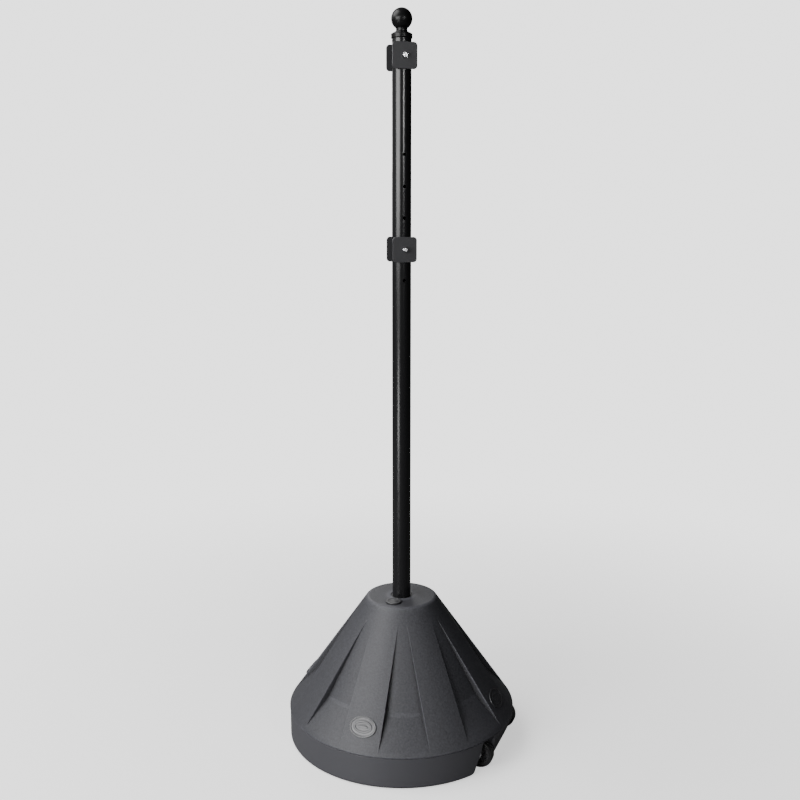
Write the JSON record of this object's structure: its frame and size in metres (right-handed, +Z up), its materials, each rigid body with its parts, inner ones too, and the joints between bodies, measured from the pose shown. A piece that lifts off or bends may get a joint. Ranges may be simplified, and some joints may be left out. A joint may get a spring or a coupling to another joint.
{
  "type": "wheeled post stand",
  "caption": "Free-standing post stand: a conical fillable base with tilt wheels, and a lift-out steel post with clamped plate brackets and a ball finial.",
  "frame": {"origin": "centre of the base's underside, on the post's axis, at floor level", "axes": "+Z up along the post, +X towards the wheels, +Y along the axle to the left wheel"},
  "size_m": [0.6299, 0.63, 1.951],
  "materials": {
    "cone_plastic": "fine moulded grain",
    "tray_plastic": "smooth satin",
    "badge_plastic": "semi-gloss",
    "cap_plastic": "satin",
    "seal_rubber": "matt",
    "ring_plastic": "satin",
    "post_paint": "gloss powder coat",
    "plug_rubber": "matt",
    "zinc": "bright zinc plate",
    "finial_gloss": "gloss",
    "plate_paint": "satin powder coat",
    "tyre_rubber": "satin",
    "rim_plastic": "satin"
  },
  "bodies": {
    "base": {"base_cone": "cone_plastic", "base_tray": "tray_plastic", "base_badges": "badge_plastic", "guide_ring": "ring_plastic", "axle": "zinc", "axle_caps": "zinc", "axle_spacers": "zinc"},
    "fill_cap": {"fill_cap": "cap_plastic", "fill_cap_seal": "seal_rubber"},
    "foot_cup": {"foot_cup": "ring_plastic"},
    "post": {"post_tube": "post_paint", "post_foot_plug": "plug_rubber", "post_top_insert": "plug_rubber", "finial_stud": "zinc", "finial_collar": "finial_gloss", "finial_ball": "finial_gloss", "top_front_plate": "plate_paint", "top_rear_plate": "plate_paint", "top_bolt": "zinc", "top_nut": "zinc", "top_washers": "plate_paint", "mid_front_plate": "plate_paint", "mid_rear_plate": "plate_paint", "mid_bolt": "zinc", "mid_nut": "zinc", "mid_washers": "plate_paint"},
    "left_wheel": {"left_tyre": "tyre_rubber", "left_rim": "rim_plastic"},
    "right_wheel": {"right_tyre": "tyre_rubber", "right_rim": "rim_plastic"}
  },
  "joints": [
    {"name": "cup_turn", "type": "hinge", "parent": "base", "child": "foot_cup", "pos_m": [0, 0, 0.02], "axis": [0, 0, 1], "continuous": true},
    {"name": "post_lift", "type": "slide", "parent": "foot_cup", "child": "post", "axis": [0, 0, 1], "range_m": [0, 0.39]},
    {"name": "fill_cap_lift", "type": "slide", "parent": "base", "child": "fill_cap", "axis": [0, 0, 1], "range_m": [0, 0.03]},
    {"name": "left_wheel_spin", "type": "hinge", "parent": "base", "child": "left_wheel", "pos_m": [0.265, 0.1125, 0.0395], "axis": [0, 1, 0], "continuous": true},
    {"name": "right_wheel_spin", "type": "hinge", "parent": "base", "child": "right_wheel", "pos_m": [0.265, -0.1125, 0.0395], "axis": [0, 1, 0], "continuous": true}
  ]
}
